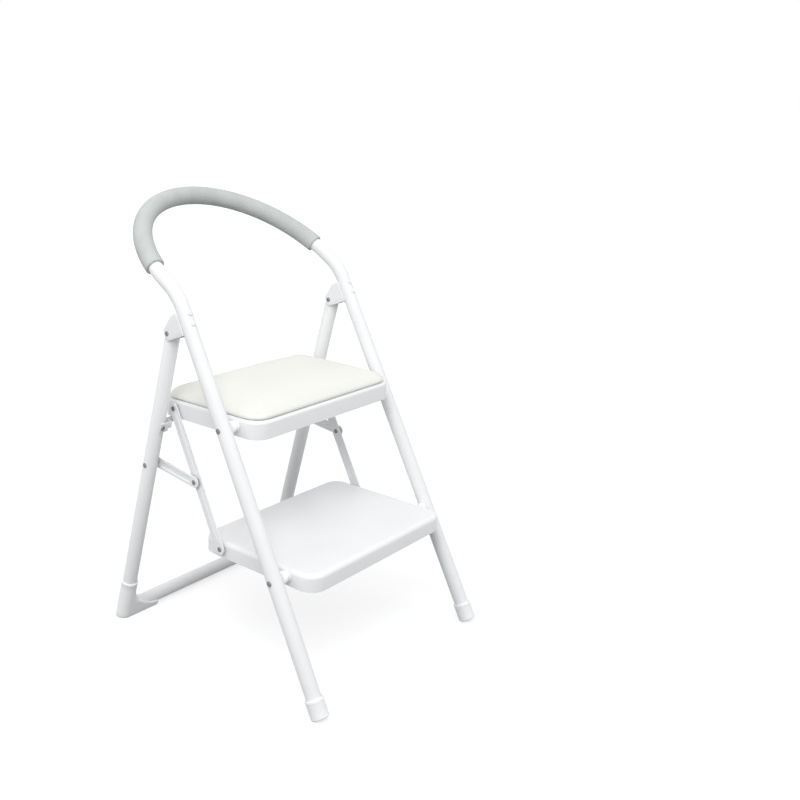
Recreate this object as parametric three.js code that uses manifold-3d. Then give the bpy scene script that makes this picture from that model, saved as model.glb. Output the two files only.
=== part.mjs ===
import * as THREE from "three";
import { mergeVertices } from "three/addons/utils/BufferGeometryUtils.js";
import Module from "manifold-3d";

const wasm = await Module();
wasm.setup();

// Overall sizes in millimetres
const overallHeight = 814;
const overallWidth = 470;
const footprintDepth = 518;
const seatHeight = 480;
const stepGap = 200;

// Tubes and caps
const tubeRadius = 13.5;
const crossbarRadius = 12.5;
const tubeWall = 1.4;
const footRadius = 15.6;
const clearance = 0.3;

// Leg slope and hinge
const frontSlopeShare = 0.504;
const hingeSetback = 43;
const crossbarHeight = 15.5;
const rearTopOverrun = 13;
const rearBottomOverrun = 10;

// Handle arch
const archLeanDegrees = 55.5;
const neckBendRadius = 107;
const archStraight = 13;
const gripRadius = 18.4;
const gripStart = 46;
const gripLip = 2;

// Pans
const sidePlay = 15.9;
const sheet = 1.5;
const seatDepth = 245;
const seatPanHeight = 36.4;
const seatFrontReach = 51.3;
const seatPivotLift = 18.5;
const seatFrontCornerRadius = 30;
const seatRearCornerRadius = 38;
const stepDepth = 262;
const stepPanHeight = 30;
const stepFrontReach = 58;
const stepPivotLift = 17;
const stepCornerRadius = 30;
const panEdgeRadius = 6;

// Seat pad
const crownRise = 28.4;
const boardThickness = 8;
const boardInset = 14;
const cushionInset = 3.5;
const cushionInsetShares = [0.055, 0.016, 0.002, 0.006, 0.03, 0.09, 0.22, 0.42, 0.66, 0.9];
const cushionRiseShares = [0.012, 0.012, 0.09, 0.22, 0.33, 0.45, 0.64, 0.81, 0.94, 1];
const screwHeadRadius = 4.5;
const screwHeadHeight = 2.2;
const screwRadius = 2;
const screwDepth = 6.5;
const screwSpanShare = 0.31;

// Link bars and stays
const linkReach = 151;
const linkWidth = 16;
const linkThickness = 3;
const linkStandoff = 4;
const stayDrop = 107;
const stayShare = 0.522;
const stayLegGap = 1;
const ribWidth = 6;
const ribHeight = 1;
const ribMargin = 12;

// Pins, rivets and spacers
const rivetRadius = 2.5;
const rivetHeadRadius = 4.5;
const rivetHeadHeight = 1.8;
const headTopShare = 0.6;
const headEdgeShare = 0.5;
const shoulderRadius = 6;
const boltRadius = 3;
const boltHeadRadius = 4.8;
const boltHeadHeight = 2.2;
const boltTail = 2;
const nutRadius = 5.8;
const nutHeight = 5;
const spacerRadius = 8.5;

// Hinge bracket
const bracketSheet = 1.5;
const bracketMargin = 8;
const bracketFrontEdge = 4.5;
const bracketDepthShares = [0.09, 0.38, 0.97, 1, 1, 0.94, 0.09];
const bracketRiseShares = [0.5, 0.5, 0.17, 0.08, -0.11, -0.24, -0.32];
const bracketRivetRises = [16, -3];

// Rear brace
const braceHeight = 12.5;
const braceSheet = 2;
const braceLugHeight = 18;
const braceLip = 10;
const bracePanGap = 0.5;
const braceWebGap = 1.5;
const braceLugMargin = 6;
const braceRivetLength = 7;

// Feet
const footWall = 3.4;
const frontFootLength = 36;
const frontFootLow = 4;
const frontFootEdge = 2.5;
const footCollarHeight = 5;
const footCollarStep = 0.5;
const rearFootRise = 64.5;
const rearFootReach = 79;
const rearFootThroatShares = [0.18, 0.25, 0.4, 0.54, 0.7, 1.02];
const rearFootEdgeShares = [0.34, 0.24, 0.14, 0.07, 0.01, -0.03];

// Mesh fineness as counts
const tubeSides = 16;
const neckSteps = 5;
const archSteps = 18;
const pinSides = 10;
const boltSides = 14;
const cornerSteps = 6;
const bevelSteps = 3;

// Derived layout
const legX = overallWidth / 2 - footRadius;
const legInnerX = legX - tubeRadius;
const legOuterX = legX + tubeRadius;
const boreRadius = tubeRadius + clearance;
const frontLean = Math.atan(frontSlopeShare);
const frontAxisY = footRadius * Math.cos(frontLean) - footprintDepth / 2;
const rearAxisY = -frontAxisY;
const frontUp = new THREE.Vector2(Math.sin(frontLean), Math.cos(frontLean));
const frontBack = new THREE.Vector2(Math.cos(frontLean), -Math.sin(frontLean));

const archLean = THREE.MathUtils.degToRad(archLeanDegrees);
const archUp = new THREE.Vector2(Math.sin(archLean), Math.cos(archLean));
const neckRise = neckBendRadius * (Math.sin(archLean) - Math.sin(frontLean));
const neckRun = neckBendRadius * (Math.cos(frontLean) - Math.cos(archLean));
const archRise = (archStraight + legX) * Math.cos(archLean);
const neckStart = frontAt(overallHeight - gripRadius - archRise - neckRise);
const neckEnd = neckStart.clone().add(new THREE.Vector2(neckRun, neckRise));
const frontTubeStart = footWall + footRadius * frontSlopeShare;

const bracketDepth = hingeSetback + bracketMargin;
const bracketTop = bracketDepth * bracketRiseShares[0];
const neckAlong = neckStart.clone().sub(frontAt(0)).dot(frontUp);
const hingeAlong = neckAlong - clearance - bracketTop;
const hingePoint = frontAt(0)
  .add(frontUp.clone().multiplyScalar(hingeAlong))
  .add(frontBack.clone().multiplyScalar(hingeSetback));
const crossbarPoint = new THREE.Vector2(rearAxisY, crossbarHeight);
const rearVector = hingePoint.clone().sub(crossbarPoint);
const rearLean = Math.atan2(-rearVector.x, rearVector.y);
const rearLength = rearVector.length();

const panHalfWidth = legInnerX - sidePlay;
const seatRim = seatHeight - crownRise;
const seatBottom = seatRim - seatPanHeight;
const stepBottom = seatBottom - stepGap - stepPanHeight;
const seatPivot = frontAt(seatBottom + seatPivotLift);
const stepPivot = frontAt(stepBottom + stepPivotLift);
const linkTop = seatPivot.clone().add(new THREE.Vector2(linkReach, 0));
const linkBottom = stepPivot.clone().add(new THREE.Vector2(linkReach, 0));
const stayFront = linkTop.clone().lerp(linkBottom, stayShare);
const stayAlong = (linkTop.y - stayDrop - crossbarHeight) / Math.cos(rearLean);
const stayRear = crossbarPoint.clone().lerp(hingePoint, stayAlong / rearLength);

const linkInnerX = panHalfWidth + linkStandoff;
const linkOuterX = linkInnerX + linkThickness;
const stayOuterX = legInnerX - stayLegGap;
const stayInnerX = stayOuterX - linkThickness;
const braceWebX = linkOuterX + braceWebGap;
const braceTop = (seatBottom - bracePanGap - crossbarHeight) / Math.cos(rearLean)
  - (braceSheet / 2) * Math.tan(rearLean);
const braceRivetAlong = braceTop - braceLugHeight / 2;

// Materials
const paint = new THREE.MeshStandardMaterial({ color: 0xf2f3f5, roughness: 0.35, metalness: 0 });
const zinc = new THREE.MeshStandardMaterial({ color: 0xa9adb0, roughness: 0.35, metalness: 0.9 });
const foam = new THREE.MeshStandardMaterial({ color: 0xc9ccca, roughness: 0.9, metalness: 0 });
const vinyl = new THREE.MeshStandardMaterial({ color: 0xf3f2ea, roughness: 0.55, metalness: 0 });
const plywood = new THREE.MeshStandardMaterial({ color: 0xc9a878, roughness: 0.8, metalness: 0 });
const nylon = new THREE.MeshStandardMaterial({ color: 0xf6f6f6, roughness: 0.45, metalness: 0 });

function frontAt(z) {
  return new THREE.Vector2(frontAxisY + frontSlopeShare * z, z);
}

// Mesh helpers
function weld(geometry) {
  const bare = geometry.clone();
  bare.deleteAttribute("normal");
  bare.deleteAttribute("uv");
  const merged = mergeVertices(bare);
  const index = merged.getIndex().array;
  const kept = [];
  for (let i = 0; i < index.length; i += 3) {
    const [a, b, c] = [index[i], index[i + 1], index[i + 2]];
    if (a !== b && b !== c && c !== a) {
      kept.push(a, b, c);
    }
  }
  merged.setIndex(kept);
  return merged;
}

function toSolid(geometry) {
  const welded = weld(geometry);
  const vertProperties = Float32Array.from(welded.getAttribute("position").array);
  const triVerts = Uint32Array.from(welded.getIndex().array);
  const solid = new wasm.Manifold(new wasm.Mesh({ numProp: 3, vertProperties, triVerts }));
  if (solid.volume() >= 0) {
    return solid;
  }
  for (let i = 0; i < triVerts.length; i += 3) {
    [triVerts[i], triVerts[i + 1]] = [triVerts[i + 1], triVerts[i]];
  }
  return new wasm.Manifold(new wasm.Mesh({ numProp: 3, vertProperties, triVerts }));
}

function toGeometry(solid) {
  const mesh = solid.getMesh();
  const geometry = new THREE.BufferGeometry();
  geometry.setAttribute("position", new THREE.BufferAttribute(mesh.vertProperties, 3));
  geometry.setIndex(new THREE.BufferAttribute(mesh.triVerts, 1));
  geometry.computeVertexNormals();
  return geometry;
}

// Block between two opposite corners
function block(low, high) {
  const size = high.clone().sub(low);
  const middle = low.clone().add(high).multiplyScalar(0.5);
  const geometry = new THREE.BoxGeometry(size.x, size.y, size.z);
  return toSolid(geometry.translate(middle.x, middle.y, middle.z));
}

function rod(radius, start, end, sides) {
  const along = end.clone().sub(start);
  const middle = start.clone().add(end).multiplyScalar(0.5);
  const geometry = new THREE.CylinderGeometry(radius, radius, along.length(), sides);
  const up = new THREE.Vector3(0, 1, 0);
  geometry.applyQuaternion(new THREE.Quaternion().setFromUnitVectors(up, along.normalize()));
  return toSolid(geometry.translate(middle.x, middle.y, middle.z));
}

function crossRod(radius, x0, x1, y, z) {
  return rod(radius, new THREE.Vector3(x0, y, z), new THREE.Vector3(x1, y, z), pinSides);
}

// Turned solid along X from pairs of distance and radius
function turned(profile, sides) {
  const points = profile.map(([along, radius]) => new THREE.Vector2(radius, along));
  return toSolid(new THREE.LatheGeometry(points, sides).rotateZ(-Math.PI / 2));
}

// Outline drawn in Y and Z and pushed along X
function sideExtrude(shape, x0, x1) {
  const settings = { depth: x1 - x0, bevelEnabled: false, curveSegments: cornerSteps / 2 };
  const geometry = new THREE.ExtrudeGeometry(shape, settings);
  const basis = new THREE.Matrix4().makeBasis(
    new THREE.Vector3(0, 1, 0),
    new THREE.Vector3(0, 0, 1),
    new THREE.Vector3(1, 0, 0),
  );
  return toSolid(geometry.applyMatrix4(basis).translate(x0, 0, 0));
}

// Curve through stations that keeps every station as a sweep step
class StationCurve extends THREE.Curve {
  constructor(stations) {
    super();
    this.stations = stations;
  }

  getPointAt(share, target = new THREE.Vector3()) {
    const last = this.stations.length - 1;
    return target.copy(this.stations[Math.round(share * last)]);
  }

  getPoint(share, target) {
    return this.getPointAt(share, target);
  }

  getTangentAt(share, target = new THREE.Vector3()) {
    const last = this.stations.length - 1;
    const i = Math.round(share * last);
    const here = this.stations[i];
    const into = here.clone().sub(this.stations[Math.max(i - 1, 0)]).normalize();
    const out = this.stations[Math.min(i + 1, last)].clone().sub(here).normalize();
    return target.copy(into.add(out)).normalize();
  }
}

function sweep(stations, outerRadius, innerRadius) {
  const shape = new THREE.Shape();
  shape.absarc(0, 0, outerRadius, 0, Math.PI * 2);
  const hole = new THREE.Path();
  hole.absarc(0, 0, innerRadius, 0, Math.PI * 2, true);
  shape.holes.push(hole);
  const geometry = new THREE.ExtrudeGeometry(shape, {
    steps: stations.length - 1,
    extrudePath: new StationCurve(stations),
    curveSegments: tubeSides / 2,
  });
  return toSolid(geometry);
}

// Left half of a path ending on the middle plane, continued by its mirror image
function mirrored(left) {
  const right = left.slice(0, -1).map((p) => new THREE.Vector3(-p.x, p.y, p.z));
  return left.concat(right.reverse());
}

function archPoint(x, along) {
  return new THREE.Vector3(x, neckEnd.x + archUp.x * along, neckEnd.y + archUp.y * along);
}

// Half circle of the handle, from an arc length past its spring line to the middle plane
function halfArch(firstArc) {
  const arcs = [0, gripStart - archStraight, gripStart - archStraight + gripLip];
  for (let i = 1; i <= archSteps / 2; i += 1) {
    arcs.push((legX * Math.PI * i) / archSteps);
  }
  const kept = arcs.filter((arc) => arc >= firstArc).sort((a, b) => a - b);
  return kept.map((arc, i) => {
    const x = i === kept.length - 1 ? 0 : -legX * Math.cos(arc / legX);
    return archPoint(x, archStraight + legX * Math.sin(arc / legX));
  });
}

// Front frame tube: legs, neck bends and the leaning arch bent from one length
function frontTube() {
  const bottom = frontAt(0).add(frontUp.clone().multiplyScalar(frontTubeStart));
  const left = [new THREE.Vector3(-legX, bottom.x, bottom.y)];
  for (let i = 0; i <= neckSteps; i += 1) {
    const lean = frontLean + ((archLean - frontLean) * i) / neckSteps;
    const y = neckStart.x + neckBendRadius * (Math.cos(frontLean) - Math.cos(lean));
    const z = neckStart.y + neckBendRadius * (Math.sin(lean) - Math.sin(frontLean));
    left.push(new THREE.Vector3(-legX, y, z));
  }
  let solid = sweep(mirrored(left.concat(halfArch(0))), tubeRadius, tubeRadius - tubeWall);
  for (const side of [-1, 1]) {
    for (const point of [seatPivot, stepPivot]) {
      const x0 = side * (legInnerX - tubeWall);
      const x1 = side * (legOuterX + tubeWall);
      solid = solid.subtract(crossRod(boltRadius + clearance, x0, x1, point.x, point.y));
    }
    for (const rise of bracketRivetRises) {
      const middle = frontAt(0).add(frontUp.clone().multiplyScalar(hingeAlong + rise));
      const reach = frontBack.clone().multiplyScalar(tubeRadius + tubeWall);
      const start = new THREE.Vector3(side * legX, middle.x - reach.x, middle.y - reach.y);
      const end = new THREE.Vector3(side * legX, middle.x + reach.x, middle.y + reach.y);
      solid = solid.subtract(rod(rivetRadius + clearance, start, end, pinSides));
    }
  }
  return toGeometry(solid);
}

// Foam grip: sleeve over the arch with a stepped lip at both ends
function foamGrip() {
  const core = mirrored(halfArch(gripStart - archStraight));
  const skin = mirrored(halfArch(gripStart - archStraight + gripLip));
  const middleRadius = (boreRadius + gripRadius - gripLip) / 2;
  const whole = sweep(core, gripRadius - gripLip, boreRadius);
  return toGeometry(whole.add(sweep(skin, gripRadius, middleRadius)));
}

// Front foot: cup with a square end on the leg, its rear edge cut level with the floor
function frontFoot() {
  const low = frontFootLow;
  const collar = frontFootLength - footCollarHeight;
  const collarRadius = footRadius + footCollarStep;
  const floorOfBore = frontTubeStart - clearance;
  const profile = [
    [low, 0],
    [low, footRadius - frontFootEdge],
    [low + frontFootEdge, footRadius],
    [collar, footRadius],
    [collar + footCollarStep, collarRadius],
    [frontFootLength - footCollarStep, collarRadius],
    [frontFootLength, footRadius],
    [frontFootLength, boreRadius],
    [floorOfBore, boreRadius],
    [floorOfBore, 0],
  ];
  const points = profile.map(([along, radius]) => new THREE.Vector2(radius, along));
  const cup = toSolid(new THREE.LatheGeometry(points, tubeSides).rotateX(Math.PI / 2));
  const ground = new THREE.BoxGeometry(overallWidth, overallWidth, overallWidth);
  ground.translate(0, 0, -overallWidth / 2).rotateX(frontLean);
  return toGeometry(cup.subtract(toSolid(ground)));
}

// Two legs and a crossbar in the leaning rear plane, drawn in by an inset
function rearFrame(inset) {
  const top = rearLength + rearTopOverrun;
  const start = new THREE.Vector3(-legX, 0, 0);
  let solid = rod(crossbarRadius - inset, start, new THREE.Vector3(legX, 0, 0), tubeSides);
  for (const side of [-1, 1]) {
    const low = new THREE.Vector3(side * legX, 0, -rearBottomOverrun);
    const high = new THREE.Vector3(side * legX, 0, top);
    solid = solid.add(rod(tubeRadius - inset, low, high, tubeSides));
  }
  return solid;
}

// Rear frame tube: legs with a welded crossbar, their bores joined
function rearTube() {
  let solid = rearFrame(0).subtract(rearFrame(tubeWall));
  const holes = [
    [rearLength, boltRadius + clearance],
    [stayAlong, rivetRadius + clearance],
  ];
  for (const side of [-1, 1]) {
    const x0 = side * (legInnerX - tubeWall);
    const x1 = side * (legOuterX + tubeWall);
    for (const [along, radius] of holes) {
      solid = solid.subtract(crossRod(radius, x0, x1, 0, along));
    }
    const front = new THREE.Vector3(side * legX, -tubeRadius - tubeWall, braceRivetAlong);
    const inside = new THREE.Vector3(side * legX, 0, braceRivetAlong);
    solid = solid.subtract(rod(rivetRadius + clearance, front, inside, pinSides));
  }
  return toGeometry(solid);
}

// Rear foot: boot over the leg end with a cradle under the crossbar end
function rearFoot(side) {
  const inward = -side;
  const low = -crossbarHeight - footRadius;
  const axis = (along) => new THREE.Vector3(0, 0, along);
  const reachEnd = new THREE.Vector3(inward * rearFootReach, 0, 0);
  const sleeve = rod(footRadius, axis(low), axis(rearFootRise), tubeSides);
  const collar = rod(footRadius + footCollarStep, axis(rearFootRise - footCollarHeight),
    axis(rearFootRise), tubeSides);
  const saddleRadius = footRadius - tubeRadius + crossbarRadius;
  const saddle = rod(saddleRadius, axis(0), reachEnd, tubeSides);
  const x0 = Math.min(0, reachEnd.x);
  const x1 = Math.max(0, reachEnd.x);
  const keelLow = new THREE.Vector3(x0, -saddleRadius, low);
  const keel = block(keelLow, new THREE.Vector3(x1, saddleRadius, 0));
  const throat = new THREE.Shape(rearFootThroatShares.map((share, i) => (
    new THREE.Vector2(inward * rearFootReach * share, rearFootRise * rearFootEdgeShares[i])
  )));
  throat.lineTo(inward * rearFootReach * 2, rearFootRise);
  throat.lineTo(inward * rearFootReach * rearFootThroatShares[0], rearFootRise);
  const settings = { depth: footRadius * 4, bevelEnabled: false };
  const opening = new THREE.ExtrudeGeometry(throat, settings);
  opening.translate(0, 0, -footRadius * 2).rotateX(Math.PI / 2);
  const farEnd = new THREE.Vector3(inward * rearFootReach * 2, 0, 0);
  const ground = new THREE.BoxGeometry(overallWidth, overallWidth, overallWidth);
  ground.translate(0, 0, -overallWidth / 2 - crossbarHeight).rotateX(-rearLean);
  const boot = sleeve.add(collar).add(saddle.add(keel).subtract(toSolid(opening)));
  return toGeometry(boot
    .subtract(rod(boreRadius, axis(-rearBottomOverrun - clearance), axis(rearFootRise * 2), tubeSides))
    .subtract(rod(crossbarRadius + clearance, axis(0), farEnd, tubeSides))
    .subtract(toSolid(ground)));
}

// Hinge bracket: saddle on the back of the front leg with two side flanges
function hingeBracket() {
  const depth = bracketDepth;
  const half = boreRadius + bracketSheet;
  const low = new THREE.Vector3(0, 0, -depth);
  const high = new THREE.Vector3(0, 0, depth);
  const frontLow = new THREE.Vector3(-half, bracketFrontEdge, -depth);
  const outer = block(frontLow, new THREE.Vector3(half, depth, depth));
  const throat = block(
    new THREE.Vector3(-boreRadius, 0, -depth * 2),
    new THREE.Vector3(boreRadius, depth * 2, depth * 2),
  );
  const points = bracketDepthShares.map((share, i) => (
    new THREE.Vector2(depth * share, depth * bracketRiseShares[i])
  ));
  let solid = sideExtrude(new THREE.Shape(points), -half, half)
    .intersect(outer)
    .subtract(throat.subtract(rod(half, low.clone().multiplyScalar(2), high.clone().multiplyScalar(2),
      tubeSides)))
    .subtract(rod(boreRadius, low, high, tubeSides))
    .subtract(crossRod(boltRadius + clearance, -depth, depth, hingeSetback, 0));
  for (const rise of bracketRivetRises) {
    const start = new THREE.Vector3(0, 0, rise);
    const end = new THREE.Vector3(0, hingeSetback / 2, rise);
    solid = solid.subtract(rod(rivetRadius + clearance, start, end, pinSides));
  }
  return toGeometry(solid);
}

// Pin with a low head at both ends and an optional shoulder between the plates
function doubleHeaded(inside, outside, radius, shoulder) {
  const height = rivetHeadHeight;
  const profile = [
    [inside - height, 0],
    [inside - height, rivetHeadRadius * headTopShare],
    [inside - height * headEdgeShare, rivetHeadRadius],
    [inside, rivetHeadRadius],
    [inside, radius],
  ];
  for (const [from, to] of shoulder) {
    profile.push([from, radius], [from, shoulderRadius], [to, shoulderRadius], [to, radius]);
  }
  profile.push(
    [outside, radius],
    [outside, rivetHeadRadius],
    [outside + height * headEdgeShare, rivetHeadRadius],
    [outside + height, rivetHeadRadius * headTopShare],
    [outside + height, 0],
  );
  return toGeometry(turned(profile, pinSides));
}

// Pin with one head at its far end
function singleHeaded(tail, outside, radius, headRadius, height) {
  const profile = [
    [tail, 0],
    [tail, radius],
    [outside, radius],
    [outside, headRadius],
    [outside + height * headEdgeShare, headRadius],
    [outside + height, headRadius * headTopShare],
    [outside + height, 0],
  ];
  return toGeometry(turned(profile, pinSides));
}

function pivotBolt() {
  const nutFace = panHalfWidth - sheet - clearance;
  const tail = nutFace - nutHeight - boltTail;
  return singleHeaded(tail, legOuterX + clearance, boltRadius, boltHeadRadius, boltHeadHeight);
}

function pivotNut() {
  const face = panHalfWidth - sheet - clearance;
  const start = new THREE.Vector3(face - nutHeight, 0, 0);
  const hexagon = rod(nutRadius, start, new THREE.Vector3(face, 0, 0), 6);
  return toGeometry(hexagon.subtract(crossRod(boltRadius + clearance, 0, panHalfWidth, 0, 0)));
}

function pivotSpacer() {
  const start = new THREE.Vector3(panHalfWidth + clearance, 0, 0);
  const end = new THREE.Vector3(legInnerX - clearance, 0, 0);
  const body = rod(spacerRadius, start, end, boltSides);
  return toGeometry(body.subtract(crossRod(boltRadius + clearance, 0, legX, 0, 0)));
}

function linkRivet() {
  const shoulder = [[panHalfWidth + clearance, linkInnerX - clearance]];
  const inside = panHalfWidth - sheet - clearance;
  return doubleHeaded(inside, linkOuterX + clearance, rivetRadius, shoulder);
}

function stayFrontRivet() {
  const shoulder = [[linkOuterX + clearance, stayInnerX - clearance]];
  return doubleHeaded(linkInnerX - clearance, stayOuterX + clearance, rivetRadius, shoulder);
}

// Rear stay rivet in two halves that meet in the gap between the stay and the leg
const rivetSplitX = (stayOuterX + legInnerX) / 2;

function stayRearRivet() {
  const tail = rivetSplitX + clearance / 2;
  return singleHeaded(tail, legOuterX + clearance, rivetRadius, rivetHeadRadius, rivetHeadHeight);
}

function stayRearTip() {
  const tail = -rivetSplitX + clearance / 2;
  const face = -stayInnerX + clearance;
  const tip = singleHeaded(tail, face, rivetRadius, rivetHeadRadius, rivetHeadHeight);
  return tip.rotateY(Math.PI);
}

function hingePin() {
  const face = boreRadius + bracketSheet + clearance;
  return doubleHeaded(legX - face, legX + face, boltRadius, []);
}

function bracketRivet() {
  const inside = -tubeRadius - clearance;
  return doubleHeaded(inside, boreRadius + bracketSheet + clearance, rivetRadius, []);
}

function braceRivet() {
  const face = boreRadius + braceSheet + clearance;
  return singleHeaded(face - braceRivetLength, face, rivetRadius, rivetHeadRadius, rivetHeadHeight);
}

function seatScrew() {
  const face = sheet + clearance;
  return singleHeaded(-screwDepth - clearance, face, screwRadius, screwHeadRadius, screwHeadHeight);
}

// Rounded plan outline of a pan, drawn in by an inset
function planPoints(depth, inset, frontRadius, rearRadius) {
  const points = [];
  const corners = [
    [1, -1, frontRadius, -Math.PI / 2],
    [1, 1, rearRadius, 0],
    [-1, 1, rearRadius, Math.PI / 2],
    [-1, -1, frontRadius, Math.PI],
  ];
  for (const [across, back, cornerRadius, turn] of corners) {
    const radius = Math.max(cornerRadius - inset, clearance);
    const x = across * (panHalfWidth - inset - radius);
    const y = depth / 2 + back * (depth / 2 - inset - radius);
    for (let i = 0; i <= cornerSteps; i += 1) {
      const angle = turn + (Math.PI / 2) * (i / cornerSteps);
      points.push(new THREE.Vector2(x + radius * Math.cos(angle), y + radius * Math.sin(angle)));
    }
  }
  return points;
}

// Tray with a rounded top edge that reaches below its own floor line
function trayBlank(depth, height, inset, frontRadius, rearRadius) {
  const edge = panEdgeRadius - inset;
  const shape = new THREE.Shape(planPoints(depth, inset, frontRadius, rearRadius));
  const geometry = new THREE.ExtrudeGeometry(shape, {
    depth: height,
    bevelThickness: edge,
    bevelSize: edge,
    bevelOffset: -edge,
    bevelSegments: bevelSteps,
  });
  return toSolid(geometry.translate(0, 0, -panEdgeRadius));
}

// Pressed pan: sheet tray open at the bottom, with pivot and link holes in its sides
function pressedPan(depth, height, frontRadius, rearRadius, pivotY, pivotZ) {
  const below = new THREE.Vector3(-legX, -depth, -depth);
  let solid = trayBlank(depth, height, 0, frontRadius, rearRadius)
    .subtract(trayBlank(depth, height, sheet, frontRadius, rearRadius))
    .subtract(block(below, new THREE.Vector3(legX, depth * 2, 0)));
  for (const side of [-1, 1]) {
    const x0 = side * (panHalfWidth - sheet * 2);
    const x1 = side * (panHalfWidth + sheet);
    solid = solid
      .subtract(crossRod(boltRadius + clearance, x0, x1, pivotY, pivotZ))
      .subtract(crossRod(rivetRadius + clearance, x0, x1, pivotY + linkReach, pivotZ));
  }
  return solid;
}

// Screw places as distances across and back from the front edge of the seat
const screwPlaces = [-1, 1].flatMap((across) => [-1, 1].map((back) => (
  [across * panHalfWidth * screwSpanShare * 2, seatDepth * (back * screwSpanShare + 1 / 2)]
)));

function seatPan() {
  let solid = pressedPan(seatDepth, seatPanHeight, seatFrontCornerRadius, seatRearCornerRadius,
    seatFrontReach, seatPivotLift);
  for (const [x, y] of screwPlaces) {
    const start = new THREE.Vector3(x, y, seatPanHeight - sheet * 2);
    const end = new THREE.Vector3(x, y, seatPanHeight + sheet);
    solid = solid.subtract(rod(screwRadius + clearance, start, end, pinSides));
  }
  return toGeometry(solid);
}

function stepPan() {
  return toGeometry(pressedPan(stepDepth, stepPanHeight, stepCornerRadius, stepCornerRadius,
    stepFrontReach, stepPivotLift));
}

// Plywood board under the foam with blind holes for the screws
function seatBoard() {
  const points = planPoints(seatDepth, boardInset, seatFrontCornerRadius, seatRearCornerRadius);
  const settings = { depth: boardThickness, bevelEnabled: false };
  let solid = toSolid(new THREE.ExtrudeGeometry(new THREE.Shape(points), settings));
  for (const [x, y] of screwPlaces) {
    const start = new THREE.Vector3(x, y, -clearance);
    const end = new THREE.Vector3(x, y, screwDepth + clearance);
    solid = solid.subtract(rod(screwRadius + clearance, start, end, pinSides));
  }
  return toGeometry(solid);
}

// Seat cushion: crowned pad with drawn-in sides and a recess for the board
function seatCushion() {
  const recess = boardInset - clearance;
  const span = seatDepth / 2 - cushionInset;
  const ceiling = boardThickness + clearance * 2;
  const rings = [[recess, ceiling], [recess, clearance]].concat(
    cushionInsetShares.map((share, i) => (
      [cushionInset + span * share, crownRise * cushionRiseShares[i]]
    )),
  );
  const positions = [];
  for (const [inset, z] of rings) {
    for (const p of planPoints(seatDepth, inset, seatFrontCornerRadius, seatRearCornerRadius)) {
      positions.push(p.x, p.y, z);
    }
  }
  const count = positions.length / rings.length / 3;
  const index = [];
  for (let ring = 0; ring < rings.length - 1; ring += 1) {
    for (let i = 0; i < count; i += 1) {
      const a = ring * count + i;
      const b = ring * count + ((i + 1) % count);
      index.push(a, b, b + count, a, b + count, a + count);
    }
  }
  const bottom = positions.length / 3;
  positions.push(0, seatDepth / 2, ceiling, 0, seatDepth / 2, crownRise);
  const last = (rings.length - 1) * count;
  for (let i = 0; i < count; i += 1) {
    index.push(bottom, (i + 1) % count, i);
    index.push(bottom + 1, last + i, last + ((i + 1) % count));
  }
  const geometry = new THREE.BufferGeometry();
  geometry.setAttribute("position", new THREE.Float32BufferAttribute(positions, 3));
  geometry.setAttribute("normal", new THREE.Float32BufferAttribute(positions, 3));
  geometry.setAttribute("uv", new THREE.Float32BufferAttribute(positions, 3));
  geometry.setIndex(index);
  return toGeometry(toSolid(geometry));
}

function obround(start, end, width) {
  const angle = end.clone().sub(start).angle();
  const shape = new THREE.Shape();
  shape.absarc(start.x, start.y, width / 2, angle + Math.PI / 2, angle + (Math.PI * 3) / 2);
  shape.absarc(end.x, end.y, width / 2, angle - Math.PI / 2, angle + Math.PI / 2);
  return shape;
}

function sideSlab(shape, side, near, far) {
  return sideExtrude(shape, Math.min(side * near, side * far), Math.max(side * near, side * far));
}

// Flat bar with round ends, holes at shares of its length and pressed ribs between them
function linkBar(reach, holeShares, side, near, far, ribDirection) {
  const start = new THREE.Vector2(0, 0);
  let solid = sideSlab(obround(start, reach, linkWidth), side, near, far);
  const ribFace = ribDirection > 0 ? far : near;
  const grooveFace = ribDirection > 0 ? near : far;
  holeShares.forEach((share, i) => {
    const hole = start.clone().lerp(reach, share);
    const x0 = side * (near - linkThickness);
    const x1 = side * (far + linkThickness);
    solid = solid.subtract(crossRod(rivetRadius + clearance, x0, x1, hole.x, hole.y));
    if (i > 0) {
      const margin = ribMargin / reach.length();
      const from = start.clone().lerp(reach, holeShares[i - 1] + margin);
      const rib = obround(from, start.clone().lerp(reach, share - margin), ribWidth);
      const lift = ribHeight * ribDirection;
      solid = solid
        .add(sideSlab(rib, side, ribFace - lift, ribFace + lift))
        .subtract(sideSlab(rib, side, grooveFace - lift, grooveFace + lift));
    }
  });
  return toGeometry(solid);
}

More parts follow.
